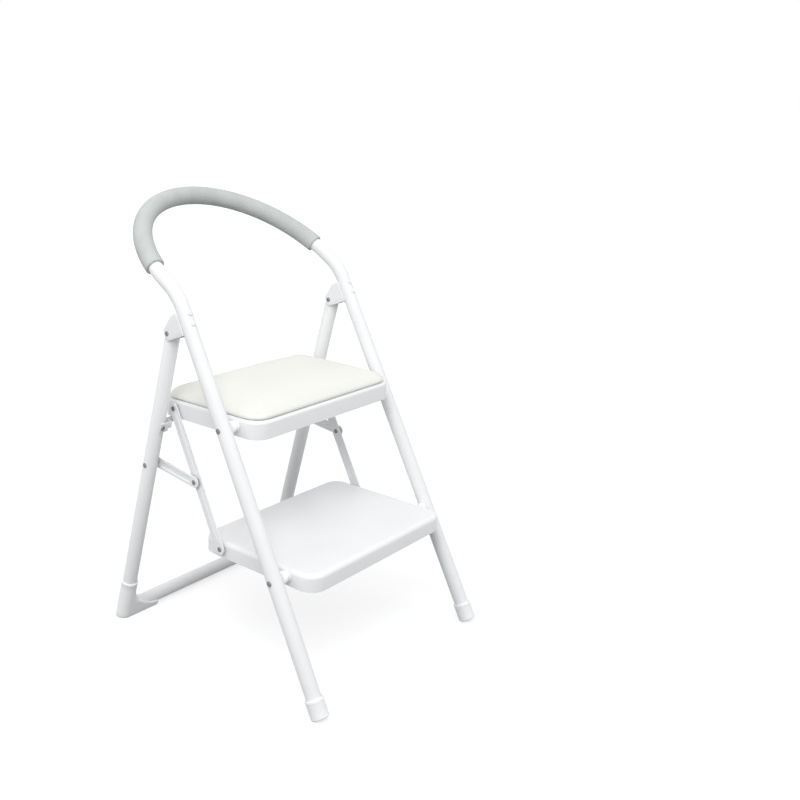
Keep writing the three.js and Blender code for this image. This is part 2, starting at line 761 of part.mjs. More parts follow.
// Rear brace in the rear frame plane: plate between the legs with cranked end lugs
function rearBrace() {
  const plateLow = new THREE.Vector3(-braceWebX, -braceSheet / 2, braceTop - braceHeight);
  const plate = block(plateLow, new THREE.Vector3(braceWebX, braceSheet / 2, braceTop));
  const lipHigh = new THREE.Vector3(braceWebX, braceLip, plateLow.z + braceSheet);
  let solid = plate.add(block(plateLow, lipHigh));
  const lugFront = -boreRadius - braceSheet;
  const lugLow = braceTop - braceLugHeight;
  const lugEnd = legX + braceLugMargin;
  for (const side of [-1, 1]) {
    const armX = [side * braceWebX, side * lugEnd].sort((a, b) => a - b);
    const lugX = [side * (legInnerX + clearance), side * lugEnd].sort((a, b) => a - b);
    const webX = [side * braceWebX, side * (braceWebX + braceSheet)].sort((a, b) => a - b);
    solid = solid
      .add(block(
        new THREE.Vector3(armX[0], lugFront, plateLow.z),
        new THREE.Vector3(armX[1], -boreRadius, braceTop),
      ))
      .add(block(
        new THREE.Vector3(lugX[0], lugFront, lugLow),
        new THREE.Vector3(lugX[1], -boreRadius, braceTop),
      ))
      .add(block(
        new THREE.Vector3(webX[0], lugFront, plateLow.z),
        new THREE.Vector3(webX[1], braceSheet / 2, braceTop),
      ));
    const start = new THREE.Vector3(side * legX, lugFront * 2, braceRivetAlong);
    const end = new THREE.Vector3(side * legX, 0, braceRivetAlong);
    solid = solid.subtract(rod(rivetRadius + clearance, start, end, pinSides));
  }
  return toGeometry(solid);
}

// Assembly
function place(parent, name, geometry, material, x, y, z) {
  const mesh = new THREE.Mesh(geometry, material.clone());
  mesh.name = name;
  mesh.position.set(x, y, z);
  parent.add(mesh);
  return mesh;
}

const stool = new THREE.Group();
stool.name = "folding_step_stool";

const rearPlane = new THREE.Group();
rearPlane.position.set(0, rearAxisY, crossbarHeight);
rearPlane.rotation.x = rearLean;
stool.add(rearPlane);

place(stool, "front_frame_tube", frontTube(), paint, 0, 0, 0);
place(stool, "foam_grip", foamGrip(), foam, 0, 0, 0);
place(rearPlane, "rear_frame_tube", rearTube(), paint, 0, 0, 0);
place(rearPlane, "rear_brace", rearBrace(), paint, 0, 0, 0);
const seatFrontY = seatPivot.x - seatFrontReach;
place(stool, "seat_pan", seatPan(), paint, 0, seatFrontY, seatBottom);
place(stool, "seat_board", seatBoard(), plywood, 0, seatFrontY, seatRim + clearance);
place(stool, "seat_cushion", seatCushion(), vinyl, 0, seatFrontY, seatRim);
place(stool, "step_pan", stepPan(), paint, 0, stepPivot.x - stepFrontReach, stepBottom);

screwPlaces.forEach(([x, y], i) => {
  const screw = place(stool, `seat_screw_${i + 1}`, seatScrew(), zinc, x, seatFrontY + y, seatRim);
  screw.rotation.y = Math.PI / 2;
});

for (const [side, mark] of [[-1, "l"], [1, "r"]]) {
  const frontLeg = new THREE.Group();
  frontLeg.position.set(side * legX, frontAxisY, 0);
  frontLeg.rotation.x = -frontLean;
  stool.add(frontLeg);
  place(frontLeg, `front_foot_${mark}`, frontFoot(), nylon, 0, 0, 0);
  place(frontLeg, `hinge_bracket_${mark}`, hingeBracket(), paint, 0, 0, hingeAlong);
  bracketRivetRises.forEach((rise, i) => {
    const name = `bracket_rivet_${mark}_${i + 1}`;
    const rivet = place(frontLeg, name, bracketRivet(), zinc, 0, 0, hingeAlong + rise);
    rivet.rotation.z = Math.PI / 2;
  });

  place(rearPlane, `rear_foot_${mark}`, rearFoot(side), nylon, side * legX, 0, 0);
  const lugRivet = place(rearPlane, `brace_rivet_${mark}`, braceRivet(), zinc,
    side * legX, 0, braceRivetAlong);
  lugRivet.rotation.z = -Math.PI / 2;

  const pins = [
    ["hinge_pin", hingePin(), zinc, hingePoint],
    ["seat_pivot_bolt", pivotBolt(), zinc, seatPivot],
    ["seat_pivot_spacer", pivotSpacer(), nylon, seatPivot],
    ["seat_pivot_nut", pivotNut(), zinc, seatPivot],
    ["step_pivot_bolt", pivotBolt(), zinc, stepPivot],
    ["step_pivot_spacer", pivotSpacer(), nylon, stepPivot],
    ["step_pivot_nut", pivotNut(), zinc, stepPivot],
    ["link_rivet_seat", linkRivet(), zinc, linkTop],
    ["link_rivet_step", linkRivet(), zinc, linkBottom],
    ["stay_rivet_front", stayFrontRivet(), zinc, stayFront],
    ["stay_rivet_rear", stayRearRivet(), zinc, stayRear],
    ["stay_rivet_tip", stayRearTip(), zinc, stayRear],
  ];
  for (const [name, geometry, material, point] of pins) {
    const pin = place(stool, `${name}_${mark}`, geometry, material, 0, point.x, point.y);
    pin.rotation.y = side > 0 ? 0 : Math.PI;
  }

  const linkDrop = linkBottom.clone().sub(linkTop);
  const link = linkBar(linkDrop, [0, stayShare, 1], side, linkInnerX, linkOuterX, 1);
  place(stool, `link_bar_${mark}`, link, paint, 0, linkTop.x, linkTop.y);
  const stayRun = stayRear.clone().sub(stayFront);
  const stay = linkBar(stayRun, [0, 1], side, stayInnerX, stayOuterX, -1);
  place(stool, `stay_link_${mark}`, stay, paint, 0, stayFront.x, stayFront.y);
}

const extent = new THREE.Box3().setFromObject(stool);
const middleY = (extent.min.y + extent.max.y) / 2;
const root = new THREE.Group();
root.name = "step_stool";
stool.position.y = -middleY;
root.add(stool);

export default root;
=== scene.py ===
import bmesh
import bpy
import numpy as np
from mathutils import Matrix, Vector


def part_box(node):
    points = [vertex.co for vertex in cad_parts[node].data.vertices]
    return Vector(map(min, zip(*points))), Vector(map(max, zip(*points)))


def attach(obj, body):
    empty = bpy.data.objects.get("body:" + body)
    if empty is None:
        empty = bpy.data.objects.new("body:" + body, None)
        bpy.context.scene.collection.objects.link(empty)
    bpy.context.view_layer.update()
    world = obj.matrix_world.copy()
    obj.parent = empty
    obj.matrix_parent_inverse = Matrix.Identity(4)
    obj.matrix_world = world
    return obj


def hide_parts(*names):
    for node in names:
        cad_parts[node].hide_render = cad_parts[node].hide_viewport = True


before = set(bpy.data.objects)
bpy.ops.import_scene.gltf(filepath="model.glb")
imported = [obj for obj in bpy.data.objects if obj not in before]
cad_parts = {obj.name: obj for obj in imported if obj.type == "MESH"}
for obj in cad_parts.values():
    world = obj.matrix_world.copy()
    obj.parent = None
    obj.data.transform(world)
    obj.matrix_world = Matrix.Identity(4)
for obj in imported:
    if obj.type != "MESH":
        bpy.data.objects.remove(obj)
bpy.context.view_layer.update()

# Studio: a white floor that runs on into a white surround, with four soft lamps.
# The floor keeps the stool's shadow, and the surround is plain white to the camera.
scene = bpy.context.scene
scene.view_settings.view_transform = "Standard"


def white_to_camera(tree, socket):
    """Feeds a socket with 1 where a ray comes straight from the camera, a mirror or glass."""
    path = tree.nodes.new("ShaderNodeLightPath")
    seen = path.outputs["Is Camera Ray"]
    for name in ("Is Glossy Ray", "Is Transmission Ray"):
        either = tree.nodes.new("ShaderNodeMath")
        either.operation = "MAXIMUM"
        tree.links.new(seen, either.inputs[0])
        tree.links.new(path.outputs[name], either.inputs[1])
        seen = either.outputs[0]
    tree.links.new(seen, socket)


sky_strength = 0.66
surround = bpy.data.worlds.new("surround")
scene.world = surround
surround.use_nodes = True
sky_tree = surround.node_tree
sky_light = sky_tree.nodes["Background"]
sky_light.inputs["Color"].default_value = (0.98, 0.99, 1.0, 1.0)
sky_light.inputs["Strength"].default_value = sky_strength
sky_white = sky_tree.nodes.new("ShaderNodeBackground")
sky_white.inputs["Color"].default_value = (1.0, 1.0, 1.0, 1.0)
sky_mix = sky_tree.nodes.new("ShaderNodeMixShader")
white_to_camera(sky_tree, sky_mix.inputs["Fac"])
sky_tree.links.new(sky_light.outputs[0], sky_mix.inputs[1])
sky_tree.links.new(sky_white.outputs[0], sky_mix.inputs[2])
sky_tree.links.new(sky_mix.outputs[0], sky_tree.nodes["World Output"].inputs["Surface"])

floor_span = 30.0
floor_bounce_tone = (0.27, 0.27, 0.27, 1.0)
floor_seen_tone = (0.42, 0.42, 0.42, 1.0)
glow_near, glow_far = 0.67, 0.86
glow_starts, glow_ends = 0.8, 3.2
floor_mesh = bpy.data.meshes.new("studio_floor")
floor_corners = np.array([[-1, -1, 0], [1, -1, 0], [1, 1, 0], [-1, 1, 0]]) * floor_span / 2
floor_mesh.from_pydata(floor_corners.tolist(), [], [[0, 1, 2, 3]])
studio_floor = bpy.data.objects.new("studio_floor", floor_mesh)
scene.collection.objects.link(studio_floor)
floor_paint = bpy.data.materials.new("floor_paint")
floor_paint.use_nodes = True
floor_tree = floor_paint.node_tree
floor_tree.nodes.remove(floor_tree.nodes["Principled BSDF"])
floor_bounce = floor_tree.nodes.new("ShaderNodeBsdfDiffuse")
floor_bounce.inputs["Color"].default_value = floor_bounce_tone
floor_matt = floor_tree.nodes.new("ShaderNodeBsdfDiffuse")
floor_matt.inputs["Color"].default_value = floor_seen_tone
floor_glow = floor_tree.nodes.new("ShaderNodeEmission")
floor_place = floor_tree.nodes.new("ShaderNodeTexCoord")
floor_reach = floor_tree.nodes.new("ShaderNodeVectorMath")
floor_reach.operation = "LENGTH"
floor_tree.links.new(floor_place.outputs["Object"], floor_reach.inputs[0])
glow_range = floor_tree.nodes.new("ShaderNodeMapRange")
for socket, value in (("From Min", glow_starts), ("From Max", glow_ends),
                      ("To Min", glow_near), ("To Max", glow_far)):
    glow_range.inputs[socket].default_value = value
floor_tree.links.new(floor_reach.outputs["Value"], glow_range.inputs["Value"])
floor_tree.links.new(glow_range.outputs["Result"], floor_glow.inputs["Strength"])
floor_sum = floor_tree.nodes.new("ShaderNodeAddShader")
floor_mix = floor_tree.nodes.new("ShaderNodeMixShader")
white_to_camera(floor_tree, floor_mix.inputs["Fac"])
floor_tree.links.new(floor_matt.outputs[0], floor_sum.inputs[0])
floor_tree.links.new(floor_glow.outputs[0], floor_sum.inputs[1])
floor_tree.links.new(floor_bounce.outputs[0], floor_mix.inputs[1])
floor_tree.links.new(floor_sum.outputs[0], floor_mix.inputs[2])
floor_tree.links.new(floor_mix.outputs[0], floor_tree.nodes["Material Output"].inputs["Surface"])
floor_mesh.materials.append(floor_paint)


def soft_lamp(name, place, aim, size, power):
    """Square area lamp at a place, turned to face the point it lights."""
    lamp = bpy.data.lights.new(name, "AREA")
    lamp.size = size
    lamp.energy = power
    holder = bpy.data.objects.new(name, lamp)
    scene.collection.objects.link(holder)
    holder.location = place
    turn = (Vector(aim) - Vector(place)).to_track_quat("-Z", "Y")
    holder.rotation_euler = turn.to_euler()


soft_lamp("key_lamp", place=(-1.9, -1.4, 3.2), aim=(0.0, 0.0, 0.4), size=2.2, power=70.0)
soft_lamp("front_lamp", place=(1.4, -2.4, 2.4), aim=(0.0, 0.0, 0.4), size=1.8, power=19.0)
soft_lamp("back_lamp", place=(-1.8, 2.0, 2.2), aim=(0.0, 0.0, 0.5), size=1.6, power=8.0)
soft_lamp("side_lamp", place=(-2.7, 0.3, 1.4), aim=(0.0, 0.0, 0.4), size=1.6, power=10.0)

camera_place = (-1.35286, -1.19531, 0.95903)
camera_dip, camera_turn = 9.49, -46.17
photo_side = 800.0
focal_pixels = 998.63
axis_pixel = (246.32, 278.63)
sensor = 36.0
camera_data = bpy.data.cameras.new("camera")
camera_data.sensor_width = sensor
camera_data.lens = focal_pixels / photo_side * sensor
camera_data.shift_x = (photo_side / 2 - axis_pixel[0]) / photo_side
camera_data.shift_y = (axis_pixel[1] - photo_side / 2) / photo_side
camera = bpy.data.objects.new("camera", camera_data)
scene.collection.objects.link(camera)
camera.location = camera_place
camera.rotation_euler = np.radians([90.0 - camera_dip, 0.0, camera_turn]).tolist()
scene.camera = camera

# Front frame: one length of 27 mm steel tube, bent at both necks and over the arch,
# powder coated white. Everything else hangs on it.
leg_x = 0.2194
tube_radius = 0.0135
tube_wall = 0.0014
front_lean = np.arctan(0.504)
front_foot_y = -0.273226
arch_lean = np.radians(56.2)
neck_radius = 0.107
neck_start = (0.041240, 0.623943)
arch_straight = 0.013
front_tube_start = 0.01126
round_cols = 48
neck_rows = 20
arch_rows = 121
weld_gap = 1e-6


def skin(name, grid, loop_rows=False, close_ends=False, crease=35.0):
    """Mesh over rows of points, each row a closed ring. Neighbours in the grid share a
    face. The last row joins the first, or both ends are closed by a flat face."""
    rows, cols, _ = grid.shape
    ids = np.arange(rows * cols).reshape(rows, cols)
    corners = np.stack([ids, np.roll(ids, -1, 1)], -1)
    onward = np.roll(corners[..., ::-1], -1, 0)
    quads = np.concatenate([corners, onward], -1)
    if not loop_rows:
        quads = quads[:-1]
    faces = quads.reshape(-1, 4).tolist()
    if close_ends:
        faces += [ids[0][::-1].tolist(), ids[-1].tolist()]
    mesh = bpy.data.meshes.new(name)
    mesh.from_pydata(grid.reshape(-1, 3).tolist(), [], faces)
    work = bmesh.new()
    work.from_mesh(mesh)
    bmesh.ops.remove_doubles(work, verts=work.verts, dist=weld_gap)
    if work.calc_volume(signed=True) < 0:
        bmesh.ops.reverse_faces(work, faces=work.faces)
    work.to_mesh(mesh)
    work.free()
    mesh.shade_smooth()
    mesh.set_sharp_from_angle(angle=np.radians(crease))
    piece = bpy.data.objects.new(name, mesh)
    scene.collection.objects.link(piece)
    return piece


def fit(piece, material, slot, body, *nodes):
    """Gives a finished piece its material, and hangs it on its CAD body. The slot is not used.
    """
    piece.data.materials.clear()
    piece.data.materials.append(material)
    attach(piece, body)
    if nodes:
        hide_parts(*nodes)
    return piece


def hoop(points, tangents, side_axis, radii):
    """Ring of points round each station: station plus radius times the cosine along one
    normal and the sine along the other. The first normal is the side axis with its part
    along the tangent taken away, the second the cross product of the two."""
    first = side_axis - (tangents @ side_axis)[:, None] * tangents
    first /= np.linalg.norm(first, axis=1)[:, None]
    second = np.cross(tangents, first)
    angle = np.linspace(0, 2 * np.pi, round_cols, endpoint=False)[None, :, None]
    ring = np.cos(angle) * first[:, None] + np.sin(angle) * second[:, None]
    return points[:, None] + np.asarray(radii).reshape(-1, 1, 1) * ring


def arch_line(arcs):
    """Points and tangents of the handle at arc lengths past its left spring line: half a
    circle of the leg's half spacing, in a plane that leans back by the arch's lean."""
    swing = arcs / leg_x
    neck_end = np.array(neck_start) + neck_radius * np.array([
        np.cos(front_lean) - np.cos(arch_lean), np.sin(arch_lean) - np.sin(front_lean)])
    along = arch_straight + leg_x * np.sin(swing)
    points = np.stack([
        -leg_x * np.cos(swing),
        neck_end[0] + np.sin(arch_lean) * along,
        neck_end[1] + np.cos(arch_lean) * along,
    ], 1)
    tangents = np.stack([
        np.sin(swing),
        np.cos(swing) * np.sin(arch_lean),
        np.cos(swing) * np.cos(arch_lean),
    ], 1)
    return points, tangents


def frame_line():
    """Points and tangents of the whole front tube: straight leg, neck bend whose lean
    grows evenly, half-circle arch, and the same mirrored on the right."""
    foot = front_tube_start * np.array([np.sin(front_lean), np.cos(front_lean)])
    lean = np.linspace(front_lean, arch_lean, neck_rows)
    neck_y = neck_start[0] + neck_radius * (np.cos(front_lean) - np.cos(lean))
    neck_z = neck_start[1] + neck_radius * (np.sin(lean) - np.sin(front_lean))
    side_y = np.concatenate([[front_foot_y + foot[0]], neck_y])
    side_z = np.concatenate([[foot[1]], neck_z])
    side_lean = np.concatenate([[front_lean], lean])
    left = np.stack([np.full_like(side_y, -leg_x), side_y, side_z], 1)
    left_way = np.stack([np.zeros_like(side_lean), np.sin(side_lean), np.cos(side_lean)], 1)
    arch, arch_way = arch_line(np.linspace(0, np.pi * leg_x, arch_rows))
    right = left[::-1] * [-1, 1, 1]
    right_way = left_way[::-1] * [1, -1, -1]
    return np.concatenate([left, arch, right]), np.concatenate([left_way, arch_way, right_way])


arch_side = np.array([0.0, np.cos(arch_lean), -np.sin(arch_lean)])
frame_points, frame_ways = frame_line()
frame_outer = hoop(frame_points, frame_ways, arch_side, [tube_radius] * len(frame_points))
frame_inner = hoop(frame_points, frame_ways, arch_side,
                   [tube_radius - tube_wall] * len(frame_points))
front_tube = skin("front_tube", np.concatenate([frame_outer, frame_inner[::-1]]), loop_rows=True)


def grain_group():
    """Noise on Object coordinates as a height and a slow tone: fine noise times its share
    plus coarse noise, and a separate broad noise for the tone."""
    group = bpy.data.node_groups.new("grain", "ShaderNodeTree")
    face = group.interface
    fine = face.new_socket("Fine Scale", in_out="INPUT", socket_type="NodeSocketFloat")
    coarse = face.new_socket("Coarse Scale", in_out="INPUT", socket_type="NodeSocketFloat")
    share = face.new_socket("Fine Share", in_out="INPUT", socket_type="NodeSocketFloat")
    tone = face.new_socket("Tone Scale", in_out="INPUT", socket_type="NodeSocketFloat")
    fine.default_value, coarse.default_value = 1500.0, 300.0
    share.default_value, tone.default_value = 0.5, 12.0
    face.new_socket("Height", in_out="OUTPUT", socket_type="NodeSocketFloat")
    face.new_socket("Tone", in_out="OUTPUT", socket_type="NodeSocketFloat")
    taken = group.nodes.new("NodeGroupInput")
    given = group.nodes.new("NodeGroupOutput")
    place = group.nodes.new("ShaderNodeTexCoord")
    noises = []
    for socket, detail in (("Fine Scale", 2.0), ("Coarse Scale", 3.0), ("Tone Scale", 2.0)):
        noise = group.nodes.new("ShaderNodeTexNoise")
        noise.inputs["Detail"].default_value = detail
        group.links.new(place.outputs["Object"], noise.inputs["Vector"])
        group.links.new(taken.outputs[socket], noise.inputs["Scale"])
        noises.append(noise.outputs["Fac"])
    blend = group.nodes.new("ShaderNodeMix")
    group.links.new(taken.outputs["Fine Share"], blend.inputs["Factor"])
    group.links.new(noises[1], blend.inputs["A"])
    group.links.new(noises[0], blend.inputs["B"])
    group.links.new(blend.outputs["Result"], given.inputs["Height"])
    group.links.new(noises[2], given.inputs["Tone"])
    return group


grain = grain_group()


def finish_of(name, light, dark, rough, scales, depth, **sockets):
    """Principled material whose colour runs between two tones, with a grain that sets
    the bump and a little of the roughness. Scales are fine, coarse, fine share, tone."""
    material = bpy.data.materials.new(name)
    material.use_nodes = True
    tree = material.node_tree
    shader = tree.nodes["Principled BSDF"]
    for socket, value in sockets.items():
        shader.inputs[socket.replace("_", " ")].default_value = value
    texture = tree.nodes.new("ShaderNodeGroup")
    texture.node_tree = grain
    for socket, value in zip(("Fine Scale", "Coarse Scale", "Fine Share", "Tone Scale"), scales):
        texture.inputs[socket].default_value = value
    tones = tree.nodes.new("ShaderNodeValToRGB")
    for stop, position, tone in zip(tones.color_ramp.elements, (0.3, 0.7), (dark, light)):
        stop.position = position
        stop.color = (*tone, 1.0)
    tree.links.new(texture.outputs["Tone"], tones.inputs["Fac"])
    tree.links.new(tones.outputs["Color"], shader.inputs["Base Color"])
    gloss = tree.nodes.new("ShaderNodeMapRange")
    gloss.inputs["To Min"].default_value, gloss.inputs["To Max"].default_value = rough
    tree.links.new(texture.outputs["Height"], gloss.inputs["Value"])
    tree.links.new(gloss.outputs["Result"], shader.inputs["Roughness"])
    bump = tree.nodes.new("ShaderNodeBump")
    bump.inputs["Strength"].default_value = 1.0
    bump.inputs["Distance"].default_value = depth
    tree.links.new(texture.outputs["Height"], bump.inputs["Height"])
    tree.links.new(bump.outputs["Normal"], shader.inputs["Normal"])
    return material


powder_coat = finish_of("powder_coat", light=(0.85, 0.855, 0.862), dark=(0.828, 0.833, 0.842),
                        rough=(0.30, 0.42), scales=(1400.0, 260.0, 0.35, 9.0), depth=0.00012)
fit(front_tube, powder_coat, "painted_steel", "front_frame", "front_frame_tube")

# Foam grip: a sleeve of closed-cell grey foam pushed over the arch before the frame is
# closed. Its ends are cut square and slightly rounded by handling.
fit_gap = 0.0003
grip_radius = 0.0179
grip_bore = tube_radius + fit_gap
grip_start = 0.033
grip_round = 0.0030
grip_chamfer = 0.0012
grip_rows, grip_bore_rows = 110, 80
grip_turn_steps = 7


def grip_grid():
    """Arch stations with a radius for each: outer skin, a quarter-circle edge at both
    ends, flat end faces, a small chamfer and the bore, joined into one ring of rows."""
    turn = np.linspace(0, np.pi / 2, grip_turn_steps)
    edge_arc = grip_start + grip_round * (1 - np.sin(turn))
    edge_radius = grip_radius - grip_round * (1 - np.cos(turn))
    span = np.pi * leg_x
    body = np.linspace(grip_start + grip_round, span - grip_start - grip_round, grip_rows)
    inner = np.linspace(span - grip_start - grip_chamfer, grip_start + grip_chamfer,
                        grip_bore_rows)
    mouth = grip_bore + grip_chamfer
    arcs = np.concatenate([[grip_start], edge_arc[::-1][:-1], body, (span - edge_arc)[1:],
                           [span - grip_start], inner])
    radii = np.concatenate([[mouth], edge_radius[::-1][:-1],
                            np.full(grip_rows, grip_radius), edge_radius[1:], [mouth],
                            np.full(grip_bore_rows, grip_bore)])
    points, ways = arch_line(arcs)
    return hoop(points, ways, arch_side, radii)


foam_sleeve = skin("foam_sleeve", grip_grid(), loop_rows=True)
grey_foam = finish_of("grey_foam", light=(0.545, 0.565, 0.555), dark=(0.495, 0.515, 0.505),
                      rough=(0.80, 0.95), scales=(2600.0, 900.0, 0.6, 30.0), depth=0.0004)
fit(foam_sleeve, grey_foam, "foam", "front_frame", "foam_grip")

# Front feet: moulded nylon cups pushed over the tube ends, with a low collar at the top
# and a square, round-edged end. They stand on the floor with their rear edge.
foot_radius = 0.0156
collar_radius = 0.0161
cap_low = 0.0040
cap_edge = 0.0026
cap_bore_floor = 0.01096
cap_turn_steps = 8
cap_dome = ((0.0006, 0.0020), (0.0005, 0.0060), (0.0002, 0.0105))
cap_collar = [
    (0.0302, foot_radius), (0.0308, 0.01585), (0.0315, collar_radius),
    (0.0350, collar_radius), (0.0357, 0.0158), (0.0360, 0.0153),
    (0.0360, tube_radius + fit_gap), (cap_bore_floor, tube_radius + fit_gap),
]


def cap_pairs():
    """Distance and radius pairs up the leg: the end, which sags towards its middle, a
    quarter-circle edge, the wall, the low collar and the blind bore."""
    turn = np.linspace(0, np.pi / 2, cap_turn_steps)
    face = [(cap_low - sag, radius) for sag, radius in cap_dome]
    edge = [(cap_low + cap_edge * (1 - np.cos(t)), foot_radius - cap_edge * (1 - np.sin(t)))
            for t in turn]
    return face + edge + cap_collar


def level_cup(centre, lean, rows):
    """Rings up a leaning axis. A point that would lie under the floor slides up along the
    axis to it: the least distance is the side offset times the tangent of the lean."""
    angle = np.linspace(0, 2 * np.pi, round_cols, endpoint=False)
    across, behind = np.cos(angle), np.sin(angle)
    axis = np.array([0.0, np.sin(lean), np.cos(lean)])
    rear = np.array([0.0, np.cos(lean), -np.sin(lean)])
    grid = []
    for distance, radius in rows:
        along = np.maximum(distance, radius * behind * np.tan(lean))
        grid.append(centre + np.outer(radius * across, [1.0, 0.0, 0.0])
                    + np.outer(radius * behind, rear) + np.outer(along, axis))
    return np.stack(grid)


nylon = finish_of("white_nylon", light=(0.95, 0.95, 0.95), dark=(0.925, 0.925, 0.93),
                  rough=(0.38, 0.5), scales=(1800.0, 500.0, 0.5, 14.0), depth=0.0001)
for side, mark in ((-1, "l"), (1, "r")):
    cup = level_cup(np.array([side * leg_x, front_foot_y, 0.0]), front_lean, cap_pairs())
    fit(skin(f"front_cap_{mark}", cup, close_ends=True), nylon, "nylon", "front_frame",
        f"front_foot_{mark}")

# Hinge brackets: 1.5 mm sheet folded into a saddle round the back of each front leg,
# with two flanges that carry the rear leg's pin. Riveted to the leg, coated with it.
hinge_along = 0.672909
bracket_depth = 0.0510
bracket_front = 0.0045
bracket_sheet = 0.0015
bracket_inner = tube_radius + fit_gap
bracket_outer = bracket_inner + bracket_sheet
bracket_bend = 0.0010
sheet_soft = 0.0003
saddle_steps, fold_steps = 12, 6
flange_depths = (0.0504, 0.0493, 0.0477, 0.0448, 0.0398, 0.0348, 0.0298, 0.0248, 0.0192,
                 0.0158, 0.0118, 0.0078)
flange_low = ((0.0045, -0.0163), (0.0430, -0.0128), (0.0479, -0.0108), (0.0510, -0.0056))
flange_top = ((0.0045, 0.0255), (0.0175, 0.0255), (0.0215, 0.0243), (0.0485, 0.0092),
              (0.0510, 0.0041))
flange_rows = ((0.0004, 0, 0.0), (0.00012, 0, 0.00012), (0.0, 0, 0.0004), (0.0, 0.25, 0.0),
               (0.0, 0.5, 0.0), (0.0, 0.75, 0.0), (0.0, 1, -0.0004),
               (0.00012, 1, -0.00012), (0.0004, 1, 0.0))
up_way = np.array([0.0, np.sin(front_lean), np.cos(front_lean)])
back_way = np.array([0.0, np.cos(front_lean), -np.sin(front_lean)])


def bracket_grid(centre):
    """Folded sheet seen down the leg: two straight flanges joined by an arc on the back
    of the tube. Each point of this closed outline runs from the flange's low to its top,
    which are pairs of depth and height. A row has an inset along the normals, a share of
    the height and a lift, so that the rows near both ends round the cut edges."""
    arc = np.linspace(np.arcsin(bracket_front / bracket_inner), np.pi / 2, saddle_steps)
    web = np.linspace(np.arccos(bracket_inner / bracket_outer), np.pi / 2, saddle_steps)
    fold = np.linspace(0, np.pi / 2, fold_steps)
    flange = np.array(flange_depths)
    inside = flange[:-1][::-1]
    half = np.concatenate([
        np.stack([bracket_outer * np.cos(web), bracket_outer * np.sin(web)], 1)[::-1],
        np.stack([np.full(len(inside), bracket_inner), inside], 1),
        [[bracket_inner + sheet_soft, bracket_depth]],
        [[bracket_outer - sheet_soft, bracket_depth]],
        np.stack([np.full(len(flange), bracket_outer), flange], 1),
        np.stack([bracket_outer - bracket_bend * (1 - np.cos(fold)),
                  bracket_front + bracket_bend * (1 - np.sin(fold))], 1),
        np.stack([bracket_inner * np.cos(arc), bracket_inner * np.sin(arc)], 1),
    ])
    outline = np.concatenate([half, half[1:-1][::-1] * [-1, 1]])
    before, after = np.roll(outline, 1, 0), np.roll(outline, -1, 0)
    normal = (after - before)[:, ::-1] * [-1, 1]
    normal /= np.linalg.norm(normal, axis=1)[:, None]
    depth = outline[:, 1]
    low = np.interp(depth, *np.transpose(flange_low))
    top = np.interp(depth, *np.transpose(flange_top))
    rows = []
    for inset, share, lift in flange_rows:
        ring = outline - inset * normal
        rise = low + share * (top - low) + lift
        rows.append(centre + np.outer(ring[:, 0], [1.0, 0.0, 0.0])
                    + np.outer(ring[:, 1], back_way) + np.outer(rise, up_way))
    return np.stack(rows)


leg_foot = np.array([0.0, front_foot_y, 0.0])
for side, mark in ((-1, "l"), (1, "r")):
    centre = leg_foot + [side * leg_x, 0.0, 0.0] + hinge_along * up_way
    grid = bracket_grid(centre)
    bracket = skin(f"bracket_{mark}", grid, close_ends=True, crease=40.0)
    fit(bracket, powder_coat, "painted_steel", "front_frame", f"hinge_bracket_{mark}")

# Rear frame: two straight legs of the same tube, joined just above the floor by a
# crossbar whose ends are cut to the legs' round and welded.
rear_lean = np.radians(14.73633)
rear_foot = np.array([0.0, 0.216912, 0.0155])
rear_length = 0.585303
crossbar_radius = 0.0125
leg_below, leg_above = 0.010, 0.013
rear_up = np.array([0.0, -np.sin(rear_lean), np.cos(rear_lean)])
rear_back = np.array([0.0, np.cos(rear_lean), np.sin(rear_lean)])
cut_round = 0.0010
cut_ease_share = 0.3


def turned_grid(pairs, start, way, side_axis):
    """Rings round a straight line, one for each pair of distance along it and radius."""
    pairs = np.array(pairs)
    points = start + pairs[:, :1] * way
    return hoop(points, np.tile(way, (len(pairs), 1)), side_axis, pairs[:, 1])


leg_top = rear_length + leg_above
bore = tube_radius - tube_wall
leg_pairs = [(-leg_below, bore), (-leg_below, tube_radius), (leg_top - cut_round, tube_radius),
             (leg_top - cut_round * cut_ease_share, tube_radius - cut_round * cut_ease_share),
             (leg_top, tube_radius - cut_round), (leg_top, bore)]
for side, mark in ((-1, "l"), (1, "r")):
    start = rear_foot + [side * leg_x, 0.0, 0.0]
    grid = turned_grid(leg_pairs, start, rear_up, rear_back)
    rear_leg = skin(f"rear_leg_{mark}", grid, loop_rows=True)
    fit(rear_leg, powder_coat, "painted_steel", "rear_frame", "rear_frame_tube")


def coped_bar():
    """Tube across the legs: each end point stops where it meets the leg's surface, at
    half spacing minus the root of the leg radius squared less the offset squared."""
    angle = np.linspace(0, 2 * np.pi, round_cols, endpoint=False)
    rings = []
    for radius, order in ((crossbar_radius, 1), (crossbar_radius - tube_wall, -1)):
        behind, above = radius * np.cos(angle), radius * np.sin(angle)
        end = leg_x - np.sqrt(np.maximum(tube_radius ** 2 - behind ** 2, 0))
        for reach in (-end, end)[::order]:
            rings.append(rear_foot + np.outer(reach, [1.0, 0.0, 0.0])
                         + np.outer(behind, rear_back) + np.outer(above, rear_up))
    return np.stack(rings)


crossbar = skin("crossbar", coped_bar(), loop_rows=True)
fit(crossbar, powder_coat, "painted_steel", "rear_frame", "rear_frame_tube")

